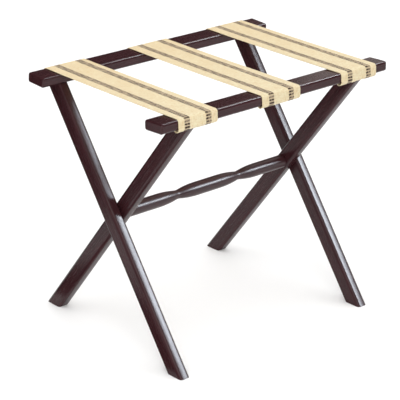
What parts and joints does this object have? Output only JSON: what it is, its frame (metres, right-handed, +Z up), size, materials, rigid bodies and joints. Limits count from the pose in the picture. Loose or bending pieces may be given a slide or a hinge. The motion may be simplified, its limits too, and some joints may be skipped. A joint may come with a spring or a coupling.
{
  "type": "folding luggage rack",
  "caption": "Folding luggage rack: crossed wooden leg frames pivot on a turned stretcher, with striped fabric straps between the top rails.",
  "frame": {"origin": "on the floor, midway between the two rails and between the left and right legs", "axes": "+X along the rails to the right, +Y from the front rail (on the inner legs) to the rear rail (on the outer legs), +Z up"},
  "size_m": [0.596, 0.4304, 0.5117],
  "materials": {
    "dark_wood": "dark espresso stain under satin lacquer",
    "strap_fabric": "cream woven webbing with two brown stripes",
    "steel": "zinc plated",
    "dowel_wood": "bare beech"
  },
  "bodies": {
    "outer_frame": {"rear_rail": "dark_wood", "outer_leg_left": "dark_wood", "outer_leg_right": "dark_wood", "stretcher": "dark_wood", "rear_rail_screws": "steel", "rear_rail_dowels": "dowel_wood", "rear_strap_tacks": "steel", "strap_left": "strap_fabric", "strap_middle": "strap_fabric", "strap_right": "strap_fabric"},
    "inner_frame": {"front_rail": "dark_wood", "inner_leg_left": "dark_wood", "inner_leg_right": "dark_wood", "front_rail_screws": "steel", "front_rail_dowels": "dowel_wood", "front_strap_tacks": "steel"}
  },
  "joints": [
    {"name": "fold", "type": "hinge", "parent": "outer_frame", "child": "inner_frame", "pos_m": [0, 0, 0.26254], "axis": [-1, 0, 0], "range_deg": [0, 60], "deforming": ["strap_left", "strap_middle", "strap_right"]}
  ]
}
